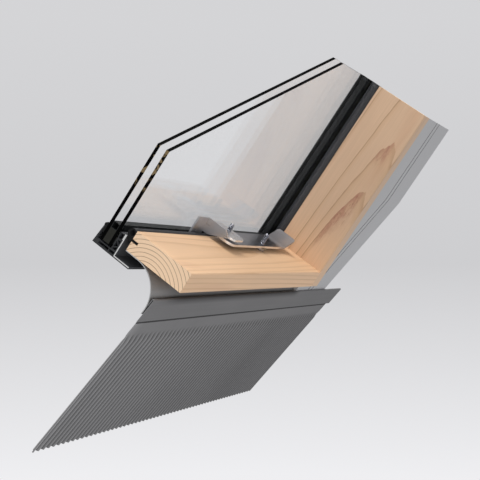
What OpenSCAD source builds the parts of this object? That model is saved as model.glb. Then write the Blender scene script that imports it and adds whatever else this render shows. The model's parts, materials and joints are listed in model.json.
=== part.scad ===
// Roof skylight, cut away at one lower corner: timber frame, side-hung double-glazed sash,
// folding stay, flashings and pleated apron.
// +X runs along the bottom rail, +Y up the slope, +Z out of the roof.
// The origin is the middle of the corner block, on the room face of the timber.

/* [Timber frame] */
// Width of the timbers across the glass plane
timber_w = 23; // [20:0.5:26]
// Depth of the timbers, from the room face to the outer face
timber_d = 75; // [70:0.5:80]
// Bottom rail, from the corner to its cut end
rail_len = 412; // [380:1:460]
// Side jamb, from the corner to its cut end
jamb_len = 260; // [220:1:300]
// Chamfer on the arrises round the room opening
arris = 1.2; // [0.5:0.1:2]

/* [Glass unit] */
// Thickness of each pane
pane_t = 4; // [3:0.5:4]
// Gap between the panes
cavity = 8; // [8:0.5:9]
// Height of the inner pane's room side above the room face
glass_z = 91.5; // [91.5:0.1:92]
// How far the panes lap past the timber's middle line
glass_lap = 18.5; // [17.5:0.1:18.5]
// Where the slanting cut meets the cut end of the sash
slant_rise = 97; // [80:1:120]
// Where the slanting cut meets the top cut
slant_run = 128; // [100:1:150]
// Width of the spacer bar
spacer_w = 8; // [7:0.5:8]

/* [Sash] */
// Height of the sash leg's room side above the room face
leg_z = 82.5; // [82.5:0.1:82.8]
// Thickness of the sash leg
leg_t = 1.2; // [1.2:0.1:1.6]
// Thickness of the leg's inner lip
lip_t = 2.2; // [2:0.1:3]
// Width of the leg's inner lip
lip_w = 6.6; // [6:0.1:7]
// Sheet thickness of the sash skirt and of the cover
skin_t = 1.2; // [1:0.1:1.4]
// Height of the skirt's lower edge above the room face
skirt_z = 62; // [58:0.5:66]
// Height of the cover's outer corner above the room face
cover_z = 113.4; // [113:0.1:115]

/* [Flashings] */
// Thickness of the sheet in flashings and apron
sheet_t = 1; // [0.8:0.1:1.2]
// Radius of the hollow sweep of the front flashing
sweep_r = 35; // [30:1:38]
// Slope of the apron against the glass plane
apron_tilt = 6.95; // [5:0.05:9]
// Length of the apron down the slope
apron_len = 216.5; // [190:0.5:240]
// How far the apron reaches past the corner
apron_past = 213; // [170:1:230]
// Distance between two pleats
pleat_pitch = 9.85; // [9:0.05:14]
// Height of a pleat
pleat_h = 3.6; // [2:0.1:4]
// Width of the side flashing beside the jamb
side_w = 126; // [110:1:140]

/* [Stay] */
// Frame pivot, distance from the corner along the rail
frame_pivot_x = 129.5; // [125:0.5:132]
// Frame pivot, height above the room face
frame_pivot_z = 52; // [51:0.5:53]
// Sash pivot, distance from the corner along the rail
sash_pivot_x = 216.5; // [214:0.5:218]
// Sash pivot, height above the room face
sash_pivot_z = 66; // [65:0.5:67]
// Diameter of the pivot studs
stud_d = 6; // [5:0.5:6]
// Thickness of the stay's link
plate_t = 3; // [2.5:0.1:3]
// Finger tab, where the link bends away from the rail
bend_x = 60; // [55:1:65]
// Finger tab, its free end
tab_x = 37; // [32:1:42]
// Slope of the finger tab against the link
tab_rise = 27; // [20:1:35]

/* [Hidden] */
$fn = 48;
far = 900;
half_w = timber_w / 2;

// Heights through the glass unit
inner_top = glass_z + pane_t;
outer_low = inner_top + cavity;
outer_top = outer_low + pane_t;

// Sash section, measured outward from the timber's middle line
lip_s = -1.1;
lip_top = leg_z + lip_t;
toe_s = lip_s + 0.5;
carrier_s = lip_s + lip_w + 1;
wall_s = glass_lap + 2;
skirt_s = 24.1;
base_s = skirt_s + skin_t;
cover_s = base_s + skin_t;
leg_top = leg_z + leg_t;
spacer_s = -5.5;
tape_t = 1;
tape_z = glass_z - tape_t;
cover_edge_s = 4.5;
cover_edge_z = cover_z - 2.4;
cover_edge_t = 1.4;
cover_slope = (cover_z - skin_t * 1.27 - (cover_edge_z - cover_edge_t)) / (base_s - cover_edge_s);
function cover_under(s) = cover_edge_z - cover_edge_t + (s - cover_edge_s) * cover_slope;

// Gasket section
groove_s = -0.5;
groove_w = 3;
groove_d = 8;
bulb_r = 5;
bulb_s = -6.7;
bulb_z = timber_d + bulb_r - 0.4;
fin_top = leg_z - 0.3;

// Apron frame in the section plane: u runs down the slope, v is the normal
hem_s = 35.6;
hem_z = 19.6;
band_u = 28.7;
leaf_u = 8;
toe_u = 19;
head_u = 20;
margin_u = 58;
front_s = half_w + sheet_t;
sweep_s = front_s + sweep_r;
toe_line = hem_z - hem_s * tan(apron_tilt) + 2 * sheet_t / cos(apron_tilt);
sweep_z = toe_line + sweep_s * tan(apron_tilt) + sweep_r / cos(apron_tilt);
sweep_end_u = (sweep_s + sweep_r * sin(apron_tilt) - hem_s) / cos(apron_tilt)
    + (2 * sheet_t) * tan(apron_tilt);
pleats = floor((rail_len + apron_past - 5) / pleat_pitch);

// Side flashing
pan_z = 1;
pan_fold_s = (pan_z - toe_line) / tan(apron_tilt);
pan_low_s = 58;
pan_low_z = toe_line + pan_low_s * tan(apron_tilt);
bead_s = [61, 75.5];
bead_w = 3.5;
bead_h = 3;
pan_edge = front_s + side_w;
hem_w = 8;
cheek_foot_z = toe_line + sweep_s * tan(apron_tilt) + sheet_t / 2;

// Stay levels above the rail
link_y = half_w + 5;
washer_t = 0.5;
collar_top = link_y - washer_t - 0.1;
foot_y = link_y + plate_t + 4.5;
head_h = 2.2;
stud_fit = 0.05;
link_z = [46, 75];
link_end = sash_pivot_x + 19.5;
tab_up = (bend_x - tab_x) * tan(tab_rise);
post_len = 18;
web_x = sash_pivot_x + 23.5;
web_low = half_w + 1.5;
web_high = 30.6;
web_toe_z = 77;
bracket_t = 2.5;
flange_x = web_x + 29;
flange_low = -5.3;
room_z = link_z[0] - 1;
rivet_x = [web_x + 8, web_x + 22];
nail_x = [60, 200, 340];
nail_y = [70, 190];
nail_z = 64;
screw_z = [20, 48];
skirt_rivet_x = [80, 220, 360];
skirt_rivet_y = [90, 210];
skirt_rivet_z = 70;

// Runs a section (outward, height) along the rail
module along_rail(x0, x1)
    translate([x0, 0, 0]) rotate([90, 0, 90]) linear_extrude(x1 - x0) mirror([1, 0]) children();

// Swaps rail and jamb sides
module on_jamb() mirror([1, -1, 0]) children();

// A section along the rail, mitred at the corner
module mitred(len) difference() {
    along_rail(-60, len) children();
    rotate([0, 0, 45]) translate([-far, 0, -1]) cube([2 * far, far, far]);
}

// Both runs of a section in one piece
module round_corner() {
    mitred(rail_len) children();
    on_jamb() mitred(jamb_len) children();
}

// The apron's own frame inside the section plane
module on_apron() translate([hem_s, hem_z]) rotate(apron_tilt) children();

// Plate with round corners in the plane of the stay, thickness along Y
module stay_plate(x, z, y, t, r)
    translate([0, y + t, 0]) rotate([90, 0, 0]) linear_extrude(t) rounded(x, z, r);

module rounded(x, z, r) {
    translate([x[0] + r, z[0]]) square([x[1] - x[0] - 2 * r, z[1] - z[0]]);
    translate([x[0], z[0] + r]) square([x[1] - x[0], z[1] - z[0] - 2 * r]);
    for (cx = [x[0] + r, x[1] - r], cz = [z[0] + r, z[1] - r]) translate([cx, cz]) circle(r);
}

// Round bar along Y from y0 to y1
module pivot_bar(x, z, y0, y1, r)
    translate([x, y1, z]) rotate([90, 0, 0]) cylinder(r = r, h = y1 - y0);

module groove_section()
    translate([groove_s - groove_w / 2, timber_d - groove_d]) square([groove_w, groove_d + 1]);

module gasket_groove() {
    along_rail(-groove_s - groove_w / 2, rail_len + 1) groove_section();
    on_jamb() along_rail(-groove_s - groove_w / 2, jamb_len + 1) groove_section();
}

module arris_section() translate([-half_w, 0]) rotate(45) square(arris * sqrt(2), center = true);

// Screw along -Y with a countersunk head, the head's face at the origin
module wood_screw(len, r) rotate([90, 0, 0]) {
    cylinder(r1 = 2 * r, r2 = r, h = r);
    cylinder(r = r, h = len - r);
    translate([0, 0, len - r]) cylinder(r1 = r, r2 = 0.2, h = r);
}

module place_corner_screws()
    for (z = screw_z) translate([-half_w, 0, z]) rotate([0, 0, 90]) children();

module place_nails() {
    for (x = nail_x) translate([x, -front_s, nail_z]) rotate([0, 0, 180]) children();
    for (y = nail_y) translate([-front_s, y, nail_z]) rotate([0, 0, 90]) children();
}

// Nail with a flat head, driven along -Y
module nail(extra) {
    rotate([90, 0, 0]) cylinder(r = 1.2 + extra, h = 16 + extra);
    rotate([-90, 0, 0]) cylinder(r = 3.2, h = 1);
}

module bottom_rail() color("burlywood") difference() {
    translate([half_w, -half_w, 0]) cube([rail_len - half_w, timber_w, timber_d]);
    gasket_groove();
    along_rail(half_w, rail_len + 1) arris_section();
    place_corner_screws() wood_screw(60.2, 2.1);
    place_nails() nail(0.1);
    place_post() wood_post(0.1);
}

module side_jamb() color("tan") difference() {
    translate([-half_w, -half_w, 0]) cube([timber_w, jamb_len + half_w, timber_d]);
    gasket_groove();
    on_jamb() along_rail(half_w, jamb_len + 1) arris_section();
    place_corner_screws() wood_screw(60.2, 2.1);
    place_nails() nail(0.1);
}

module corner_screws() color("silver") place_corner_screws() wood_screw(60, 2);

module gasket_section() {
    difference() {
        union() {
            translate([bulb_s, bulb_z]) circle(bulb_r);
            translate([bulb_s, timber_d]) square([bulb_r + 4, 2]);
            translate([groove_s - 1.5, timber_d]) square([3.5, fin_top - timber_d]);
        }
        translate([bulb_s, bulb_z]) circle(bulb_r - 1.5);
        translate([bulb_s - 10, timber_d - 10]) square([20, 10]);
    }
    translate([groove_s - 0.7, timber_d - groove_d + 0.4]) square([1.4, groove_d]);
    for (k = [0 : 2]) translate([groove_s, timber_d - 6.4 + k * 2])
        polygon([[-1.4, 1], [0, -0.6], [1.4, 1], [1.4, 1.4], [-1.4, 1.4]]);
}

module frame_gasket() color("#202020") round_corner() gasket_section();

module sweep_section() {
    translate([half_w, sweep_z]) square([sheet_t, timber_d - sweep_z]);
    intersection() {
        translate([sweep_s, sweep_z]) difference() {
            circle(sweep_r + sheet_t, $fn = 96);
            circle(sweep_r, $fn = 96);
        }
        translate([sweep_s, sweep_z])
            polygon([[0, 0], [-far, 0], [-far, -far], [far * sin(apron_tilt), -far * cos(apron_tilt)]]);
    }
    on_apron() translate([sweep_end_u, sheet_t]) square([toe_u - sweep_end_u, sheet_t]);
}

module front_flashing() color("#8a8d8f") difference() {
    along_rail(-half_w, rail_len) sweep_section();
    place_nails() nail(0.1);
}

module band_section() on_apron() {
    translate([0, -sheet_t]) square([band_u, sheet_t]);
    translate([0, sheet_t]) square([leaf_u, sheet_t]);
    intersection() {
        translate([0, sheet_t / 2]) difference() {
            circle(1.5 * sheet_t);
            circle(0.5 * sheet_t);
        }
        translate([-far, -far / 2]) square([far, far]);
    }
}

module apron_band() color("#6b6e70") along_rail(-apron_past, rail_len) band_section();

// Height of the pleat wave at a quarter step, with narrow flat crests
function wave(i) = (i % 4 < 2 ? 0.5 : -0.5) * pleat_h;
function wave_x(i) = (floor(i / 4) + [0.14, 0.36, 0.64, 0.86][i % 4]) * pleat_pitch;
function apron_point(i, u, rise, v) = [wave_x(i), u, rise * wave(i) + v];

apron_rows = [[head_u, 0], [margin_u - 14, 0], [margin_u, 1], [apron_len, 1]];
apron_count = 4 * pleats;
function apron_id(layer, r, i) = (layer * len(apron_rows) + r) * apron_count + i;

module apron() color("#63666a") {
    last = len(apron_rows) - 1;
    end = apron_count - 1;
    points = [for (v = [0, sheet_t], r = apron_rows, i = [0 : end]) apron_point(i, r[0], r[1], v)];
    outer = [for (r = [0 : last - 1], i = [0 : end - 1])
        [apron_id(1, r, i), apron_id(1, r + 1, i), apron_id(1, r + 1, i + 1), apron_id(1, r, i + 1)]];
    under = [for (r = [0 : last - 1], i = [0 : end - 1])
        [apron_id(0, r, i + 1), apron_id(0, r + 1, i + 1), apron_id(0, r + 1, i), apron_id(0, r, i)]];
    head = [for (i = [0 : end - 1])
        [apron_id(0, 0, i), apron_id(1, 0, i), apron_id(1, 0, i + 1), apron_id(0, 0, i + 1)]];
    foot = [for (i = [0 : end - 1])
        [apron_id(0, last, i + 1), apron_id(1, last, i + 1), apron_id(1, last, i), apron_id(0, last, i)]];
    near = [for (r = [0 : last - 1])
        [apron_id(0, r + 1, 0), apron_id(1, r + 1, 0), apron_id(1, r, 0), apron_id(0, r, 0)]];
    away = [for (r = [0 : last - 1])
        [apron_id(0, r, end), apron_id(1, r, end), apron_id(1, r + 1, end), apron_id(0, r + 1, end)]];
    translate([rail_len - pleats * pleat_pitch, -hem_s, hem_z]) rotate([-apron_tilt, 0, 0])
        mirror([0, 1, 0]) polyhedron(points, concat(outer, under, head, foot, near, away));
}

// Strip of the side flashing between two distances from the jamb, bent at the pan's fold
module pan_strip(near, away, under, over) translate([-near, 0, 0]) rotate([0, -90, 0])
    linear_extrude(away - near)
        polygon([[pan_z + under, jamb_len], [pan_z + under, -pan_fold_s],
            [pan_low_z + under, -pan_low_s], [pan_low_z + over, -pan_low_s],
            [pan_z + over, -pan_fold_s], [pan_z + over, jamb_len]]);

// Upright leg against the jamb with a cheek that closes the end of the sweep, its foot inside the
// thickness of the pan
module side_leg() translate([-half_w, 0, 0]) rotate([0, -90, 0]) linear_extrude(sheet_t) difference() {
    polygon([[pan_z + sheet_t / 2, jamb_len], [timber_d, jamb_len], [timber_d, -front_s],
        [sweep_z, -front_s], [sweep_z, -sweep_s], [cheek_foot_z, -sweep_s],
        [pan_z + sheet_t / 2, -pan_fold_s]]);
    translate([sweep_z, -sweep_s]) circle(sweep_r, $fn = 96);
}

// Narrow raised water bead along the side flashing
module bead(near) {
    pan_strip(near, near + sheet_t, 0, bead_h + sheet_t);
    pan_strip(near + sheet_t, near + bead_w - sheet_t, bead_h, bead_h + sheet_t);
    pan_strip(near + bead_w - sheet_t, near + bead_w, 0, bead_h + sheet_t);
}

module side_flashing() color("#9aa0a4") difference() {
    union() {
        side_leg();
        pan_strip(half_w, bead_s[0], 0, sheet_t);
        bead(bead_s[0]);
        pan_strip(bead_s[0] + bead_w, bead_s[1], 0, sheet_t);
        bead(bead_s[1]);
        pan_strip(bead_s[1] + bead_w, pan_edge - hem_w, 0, sheet_t);
        pan_strip(pan_edge - hem_w, pan_edge, 0, 2 * sheet_t);
    }
    place_nails() nail(0.1);
}

module flashing_nails() color("silver") place_nails() nail(0);

// Stud from one level to its chamfered free end
module stud_end(x, z, low, top) {
    pivot_bar(x, z, low, top - 0.8, stud_d / 2);
    translate([x, top, z]) rotate([90, 0, 0]) cylinder(r1 = stud_d / 2 - 0.8, r2 = stud_d / 2, h = 0.8);
}

// The frame stud stands on the rail, at the head of its own wood thread
module place_post() translate([frame_pivot_x, half_w, frame_pivot_z]) children();

module wood_post(extra) rotate([90, 0, 0]) cylinder(r = 2.5 + extra, h = post_len + extra);

module frame_stud() color("#c4c8ca") {
    place_post() wood_post(0);
    pivot_bar(frame_pivot_x, frame_pivot_z, half_w, collar_top, 7);
    stud_end(frame_pivot_x, frame_pivot_z, collar_top, link_y + plate_t + 14.5);
}

module friction_washer() color("#7d6a45") difference() {
    pivot_bar(frame_pivot_x, frame_pivot_z, collar_top, collar_top + washer_t, 9);
    pivot_bar(frame_pivot_x, frame_pivot_z, 0, 60, stud_d / 2 + stud_fit);
}

module link_section() polygon([[link_end, link_y], [link_end, link_y + plate_t], [bend_x, link_y + plate_t],
    [tab_x, link_y + plate_t + tab_up], [tab_x, link_y + tab_up], [bend_x, link_y]]);

module stay_link() color("#a9adb0") difference() {
    intersection() {
        translate([0, 0, link_z[0]]) linear_extrude(link_z[1] - link_z[0]) link_section();
        union() {
            stay_plate([bend_x, link_end], link_z, 0, 60, 12);
            stay_plate([tab_x, frame_pivot_x], link_z, 0, 60, 4);
        }
    }
    pivot_bar(frame_pivot_x, frame_pivot_z, 0, 60, stud_d / 2 + stud_fit);
    pivot_bar(sash_pivot_x, sash_pivot_z, 0, 60, stud_d / 2 + stud_fit);
}

module sash_bracket() color("#a9adb0") difference() {
    union() {
        stay_plate([sash_pivot_x - 11.5, web_x + bracket_t], [room_z, lip_top], foot_y, bracket_t, 10);
        translate([web_x, 0, 0]) rotate([90, 0, 90]) linear_extrude(bracket_t)
            polygon([[web_low, lip_top + bracket_t], [web_low, web_toe_z], [foot_y, room_z + 6],
                [web_high, room_z + 15], [web_high, lip_top + bracket_t]]);
        translate([web_x, flange_low, lip_top])
            cube([flange_x - web_x, web_high - flange_low, bracket_t]);
    }
    pivot_bar(sash_pivot_x, sash_pivot_z, 0, 60, stud_d / 2);
    place_bracket_rivets() cylinder(r = 1.6, h = far, center = true);
}

module place_bracket_rivets() for (x = rivet_x) translate([x, -2, 0]) children();

module bracket_rivets() color("#c4c8ca") place_bracket_rivets() {
    translate([0, 0, leg_z]) cylinder(r = 1.6, h = lip_t + bracket_t);
    translate([0, 0, lip_top + bracket_t]) cylinder(r1 = 3, r2 = 2, h = 1);
}

module sash_stud() color("#c4c8ca") {
    pivot_bar(sash_pivot_x, sash_pivot_z, link_y - head_h, link_y - 0.1, stud_d);
    stud_end(sash_pivot_x, sash_pivot_z, link_y - 0.1, foot_y + bracket_t + 9);
}

module pivot_bush() color("#c4c8ca") difference() {
    pivot_bar(sash_pivot_x, sash_pivot_z, link_y + plate_t + 0.1, foot_y, 6);
    pivot_bar(sash_pivot_x, sash_pivot_z, 0, 60, stud_d / 2 + stud_fit);
}

module pane_outline() polygon([[-glass_lap, -glass_lap], [rail_len, -glass_lap],
    [rail_len, slant_rise], [slant_run, jamb_len], [-glass_lap, jamb_len]]);

module inner_pane() color("#b9d2d0", 0.35) translate([0, 0, glass_z]) linear_extrude(pane_t) pane_outline();

module outer_pane() color("#b9d2d0", 0.35) translate([0, 0, outer_low]) linear_extrude(pane_t) pane_outline();

module spacer_section() difference() {
    translate([spacer_s, inner_top]) square([spacer_w, cavity]);
    translate([spacer_s + 0.6, inner_top + 0.6]) square([spacer_w - 1.2, cavity - 1.2]);
}

module spacer_bar() color("#1b1b1b") round_corner() spacer_section();

module edge_sealant() color("#26261f") round_corner()
    translate([spacer_s + spacer_w, inner_top]) square([glass_lap - spacer_s - spacer_w, cavity]);

module setting_blocks() color("#303030") for (x = [60, 300])
    translate([x, -wall_s, glass_z]) cube([60, wall_s - glass_lap, outer_top - glass_z]);

module base_section() polygon([[lip_s, leg_z], [skirt_s, leg_z], [skirt_s, skirt_z],
    [base_s, skirt_z], [base_s, leg_top], [lip_s + lip_w, leg_top], [lip_s + lip_w, lip_top],
    [lip_s, lip_top]]);

module sash_base_bottom() color("#3a3d40") difference() {
    mitred(rail_len) base_section();
    place_bracket_rivets() cylinder(r = 1.6, h = far, center = true);
    place_skirt_rivets() skirt_rivet();
}

module sash_base_side() color("#3a3d40") difference() {
    on_jamb() mitred(jamb_len) base_section();
    place_skirt_rivets() skirt_rivet();
}

// Chambered plastic profile that carries the glass edge
module carrier_section() difference() {
    polygon([[toe_s, lip_top], [carrier_s, lip_top], [carrier_s, leg_top], [base_s, leg_top],
        [base_s, cover_under(base_s)], [wall_s, cover_under(wall_s)], [wall_s, tape_z], [toe_s, tape_z]]);
    low = leg_top + 1;
    high = tape_z - 1;
    mid = (carrier_s + wall_s) / 2;
    translate([toe_s + 1, lip_top + 1]) square([carrier_s - toe_s - 1, high - lip_top - 1]);
    polygon([[carrier_s + 1.6, low], [mid - 0.6, low], [carrier_s + 1.6, high]]);
    polygon([[mid + 0.6, low], [mid + 3.4, high], [carrier_s + 3.2, high]]);
    polygon([[mid + 1.8, low], [wall_s - 1, low], [wall_s - 1, high], [mid + 4.6, high]]);
    translate([wall_s + 1, leg_top + 1]) square([base_s - wall_s - 2, tape_z - leg_top]);
    translate([wall_s + 1, tape_z + 2]) square([base_s - wall_s - 2, outer_top - tape_z - 3]);
}

// The bottom run is notched round the stay bracket's flange
module carrier_bottom() color("#242628") difference() {
    mitred(rail_len) carrier_section();
    translate([web_x - 0.5, -carrier_s - 0.3, lip_top])
        cube([flange_x - web_x + 1, 2 * carrier_s, tape_z + tape_t - lip_top]);
}

module carrier_side() color("#242628") on_jamb() mitred(jamb_len) carrier_section();

module tape_section() translate([carrier_s + 1, tape_z]) square([8, tape_t]);

module inner_tape_bottom() color("#181818") mitred(rail_len) tape_section();

module inner_tape_side() color("#181818") on_jamb() mitred(jamb_len) tape_section();

module outer_seal_section() polygon([[1, outer_top], [12, outer_top], [12, cover_under(12)],
    [cover_edge_s, cover_under(cover_edge_s)], [cover_edge_s, cover_edge_z + 0.3],
    [2.2, cover_edge_z + 0.3], [0.2, outer_top + 1.6]]);

module outer_seal_bottom() color("#181818") mitred(rail_len) outer_seal_section();

module outer_seal_side() color("#181818") on_jamb() mitred(jamb_len) outer_seal_section();

module cover_section() polygon([[base_s, skirt_z - 0.2], [cover_s, skirt_z - 0.2], [cover_s, cover_z],
    [cover_edge_s, cover_edge_z], [cover_edge_s, cover_under(cover_edge_s)],
    [base_s, cover_under(base_s)]]);

module place_skirt_rivets() {
    for (x = skirt_rivet_x) translate([x, -cover_s, skirt_rivet_z]) rotate([0, 0, 180]) children();
    for (y = skirt_rivet_y) translate([-cover_s, y, skirt_rivet_z]) rotate([0, 0, 90]) children();
}

// Rivet through both skirts, along -Y with its low head outside
module skirt_rivet() {
    rotate([90, 0, 0]) cylinder(r = 1.6, h = 2 * skin_t + 0.6);
    rotate([-90, 0, 0]) cylinder(r1 = 3, r2 = 2.2, h = 0.7);
}

module sash_cover_bottom() color("#2b2d2f") difference() {
    mitred(rail_len) cover_section();
    place_skirt_rivets() skirt_rivet();
}

module sash_cover_side() color("#2b2d2f") difference() {
    on_jamb() mitred(jamb_len) cover_section();
    place_skirt_rivets() skirt_rivet();
}

module cover_rivets() color("#2b2d2f") place_skirt_rivets() skirt_rivet();

bottom_rail();
side_jamb();
corner_screws();
frame_gasket();
front_flashing();
side_flashing();
apron_band();
apron();
flashing_nails();
frame_stud();
friction_washer();
stay_link();
sash_bracket();
bracket_rivets();
sash_stud();
pivot_bush();
inner_pane();
outer_pane();
spacer_bar();
edge_sealant();
setting_blocks();
sash_base_bottom();
sash_base_side();
carrier_bottom();
carrier_side();
inner_tape_bottom();
inner_tape_side();
outer_seal_bottom();
outer_seal_side();
sash_cover_bottom();
sash_cover_side();
cover_rivets();
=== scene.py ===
import json
import math

import bmesh
import bpy
from bpy.props import FloatProperty, FloatVectorProperty, IntProperty, PointerProperty
from mathutils import Matrix, Vector

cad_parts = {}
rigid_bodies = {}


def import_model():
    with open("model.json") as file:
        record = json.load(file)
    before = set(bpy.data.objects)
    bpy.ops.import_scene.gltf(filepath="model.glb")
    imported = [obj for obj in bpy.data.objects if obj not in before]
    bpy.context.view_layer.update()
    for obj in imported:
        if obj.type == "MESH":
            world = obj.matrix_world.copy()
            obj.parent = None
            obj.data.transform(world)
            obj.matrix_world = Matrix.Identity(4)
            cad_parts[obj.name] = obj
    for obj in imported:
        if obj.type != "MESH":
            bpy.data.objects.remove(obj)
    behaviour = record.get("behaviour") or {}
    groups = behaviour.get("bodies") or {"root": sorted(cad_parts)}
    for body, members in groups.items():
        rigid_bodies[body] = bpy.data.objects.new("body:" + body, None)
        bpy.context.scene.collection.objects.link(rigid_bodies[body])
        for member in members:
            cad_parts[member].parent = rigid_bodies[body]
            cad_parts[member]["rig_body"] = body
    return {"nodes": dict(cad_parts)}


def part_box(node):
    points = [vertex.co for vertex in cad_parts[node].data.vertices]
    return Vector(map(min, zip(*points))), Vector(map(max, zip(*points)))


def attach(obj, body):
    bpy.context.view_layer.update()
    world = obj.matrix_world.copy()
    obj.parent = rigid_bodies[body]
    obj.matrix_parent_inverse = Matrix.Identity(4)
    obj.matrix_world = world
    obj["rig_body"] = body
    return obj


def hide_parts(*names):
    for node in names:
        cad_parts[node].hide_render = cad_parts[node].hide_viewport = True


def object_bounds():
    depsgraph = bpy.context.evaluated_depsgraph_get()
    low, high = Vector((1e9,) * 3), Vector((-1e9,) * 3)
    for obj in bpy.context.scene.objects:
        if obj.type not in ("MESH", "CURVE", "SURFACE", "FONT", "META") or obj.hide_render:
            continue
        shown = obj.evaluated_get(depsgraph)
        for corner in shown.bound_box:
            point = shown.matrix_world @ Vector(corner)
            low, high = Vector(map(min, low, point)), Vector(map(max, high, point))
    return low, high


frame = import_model()
cad_box = [list(corner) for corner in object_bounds()]

bl_info = {
    "name": "Roof skylight corner",
    "version": (1, 0, 0),
    "blender": (4, 5, 0),
    "location": "View3D > Sidebar > Skylight",
    "description": "Finishes, fine pieces, stage and camera for the corner of a roof skylight",
    "category": "Object",
}

# Distance within which points are one, and angles of faces that are one flat or meet in a sharp edge
MERGE = 1e-6
FLAT = math.radians(0.6)
SHARP = math.radians(30)
# Where the saw has cut the sample: the ends of the bottom rail and of the side jamb
CUT_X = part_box("bottom_rail")[1].x
CUT_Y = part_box("side_jamb")[1].y
# How near to such an end a surface is sawn
SAW = 0.00015
# Steel on a sheared edge, made brighter as a painted highlight; painted light on the link's tab; and
# sheet metal on a sheared end
SHEARED_EDGE_HIGHLIGHT = (0.85, 0.83, 0.81)
TAB_LIGHT = (0.40, 0.39, 0.41)
SHEARED = (0.78, 0.78, 0.78)
# How much wider than the last each ring of the jamb is
WIDENING = 1.94
# Reddish hearts of the jamb: start and tip along it, depth inside a ring line, and that line's number
HEARTS = ((0.040, 0.138, 0.0036, 0), (0.176, 0.222, 0.0034, 1))
# Stretch up the jamb over which the cut edges of the panes begin to show a painted reflection of the
# wood
WOOD_REFLECTION_FROM = (0.046, 0.054)
# Where the painted light on the link's tab ends, and the height up to which the bracket's edges get a
# painted highlight
TAB_END = (0.070, 0.085)
BRIGHT_HEIGHT = 0.080
# Middle lines of the side flashing's two water beads, and half the width of their slots
BEADS = (0.06275, 0.07725)
SLOT_HALF = 0.001
# Share of light taken by painted shade behind the rail and at the band's head, and by painted shadow
# in the slots and at the seam
HOLLOW_SHADE = 0.6
HEM_SHADE = 0.68
SLOT_DARK = 0.88
SEAM_DARK = 0.75
# Share of a pleat by which the first crest is shifted
SHIFT = 0.14
# Tones of the apron: flat margin, painted shade and highlight of the stripes, painted light at the
# cut edge, and painted shade on the pleats at its far and at its cut end
MARGIN_TONE = 1.12
STRIPE_TONE = 0.62
CUT_EDGE_LIGHT = 0.3
FAR_SHADE = 0.50
CUT_END_SHADE = 0.26
# How marks from rolling are drawn out along the rail or along the jamb
ALONG_X = (0.02, 1, 1)
ALONG_Y = (1, 0.02, 1)
# Gap that keeps the floor from sharing a plane with the object
FLOOR_GAP = 0.0006


# Sizes and colours that a user would change


def colour_of(name, description, default):
    return FloatVectorProperty(name=name, description=description, subtype="COLOR",
                               size=3, min=0, max=1, default=default)


def length_of(name, description, default):
    return FloatProperty(name=name, description=description, unit="LENGTH",
                         subtype="DISTANCE", min=0, default=default, precision=5)


def share_of(name, description, default):
    return FloatProperty(name=name, description=description, subtype="FACTOR",
                         min=0, max=1, default=default)


class TimberLook(bpy.types.PropertyGroup):
    """Pine of the bottom rail and the side jamb."""

    rail: colour_of("Rail", "Pale wood between two rings of the rail", (0.84, 0.55, 0.335))
    jamb: colour_of("Jamb", "Pale wood between two rings of the jamb", (0.75, 0.515, 0.345))
    late: colour_of("Latewood", "Wood that darkens towards a ring", (0.52, 0.285, 0.125))
    line: colour_of("Ring line", "Thin dark line of a wide ring", (0.30, 0.155, 0.075))
    # Warmer wood at the foot of the jamb, whose extra lightness is painted light against the shade
    # there
    foot: colour_of("Foot", "Warmer wood at the foot of the jamb", (0.97, 0.63, 0.39))
    streak: colour_of("Streak", "Pinkish streaks along the grain", (0.66, 0.38, 0.23))
    heart: colour_of("Heart", "Reddish heartwood at the tips of the grain", (0.47, 0.21, 0.145))
    end_early: colour_of("End grain", "Pale wood on a sawn end", (0.97, 0.70, 0.475))
    end_late: colour_of("End rings", "Ring lines on a sawn end", (0.21, 0.115, 0.06))
    ring_gap: length_of("Ring gap", "Distance between two growth rings", 0.0043)
    waver: length_of("Waver", "How far the rings wander along the grain", 0.0042)
    ease: length_of("Eased edge", "Rounding of the timber edges", 0.0006)


class GlassLook(bpy.types.PropertyGroup):
    """Both panes and the edge of the glass unit."""

    tint: colour_of("Tint", "What one pane lets through", (0.995, 0.996, 0.996))
    shine: colour_of("Shine", "What a face of a pane reflects", (1, 1, 1))
    square: share_of("Square gloss", "Share that a face reflects, seen square on", 0.03)
    glancing: share_of("Glancing gloss", "Share that is added at a glancing angle", 0.62)
    edge: colour_of("Cut edge", "Cut edge of a pane", (0.001, 0.001, 0.001))
    # Painted reflection of the wood on the cut edges of the panes
    edge_wood_reflection: colour_of("Warm edge", "Cut edge where it catches the wood", (0.22, 0.16, 0.085))
    spacer: colour_of("Spacer", "Spacer bar between the panes", (0.008, 0.009, 0.009))
    # One sealant: its inside is painted lighter as painted light where it lies in shade between the
    # panes, and its lit sawn end is painted darker
    sawn: colour_of("Sawn sealant", "Sawn end of the edge sealant", (0.030, 0.030, 0.026))
    sealant: colour_of("Sealant", "Edge sealant outside the spacer", (0.055, 0.055, 0.045))


class SashLook(bpy.types.PropertyGroup):
    """Profiles and seals of the sash and the frame's gasket."""

    coat: colour_of("Coat", "Powder coat of the profiles", (0.078, 0.080, 0.087))
    bare: colour_of("Bare cut", "Sawn end of a coated profile", (0.66, 0.66, 0.65))
    dull: colour_of("Dull cut", "Sawn end of the cover and the carrier", (0.026, 0.027, 0.029))
    plastic: colour_of("Plastic", "Chambered carrier of the glass", (0.046, 0.048, 0.054))
    rubber: colour_of("Rubber", "Tapes, outer seals and sawn ends", (0.006, 0.006, 0.006))
    dusty: colour_of("Dusty rubber", "Skin of the frame's gasket", (0.046, 0.046, 0.049))
    ease: length_of("Eased edge", "Rounding of the profile edges", 0.00025)


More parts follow.
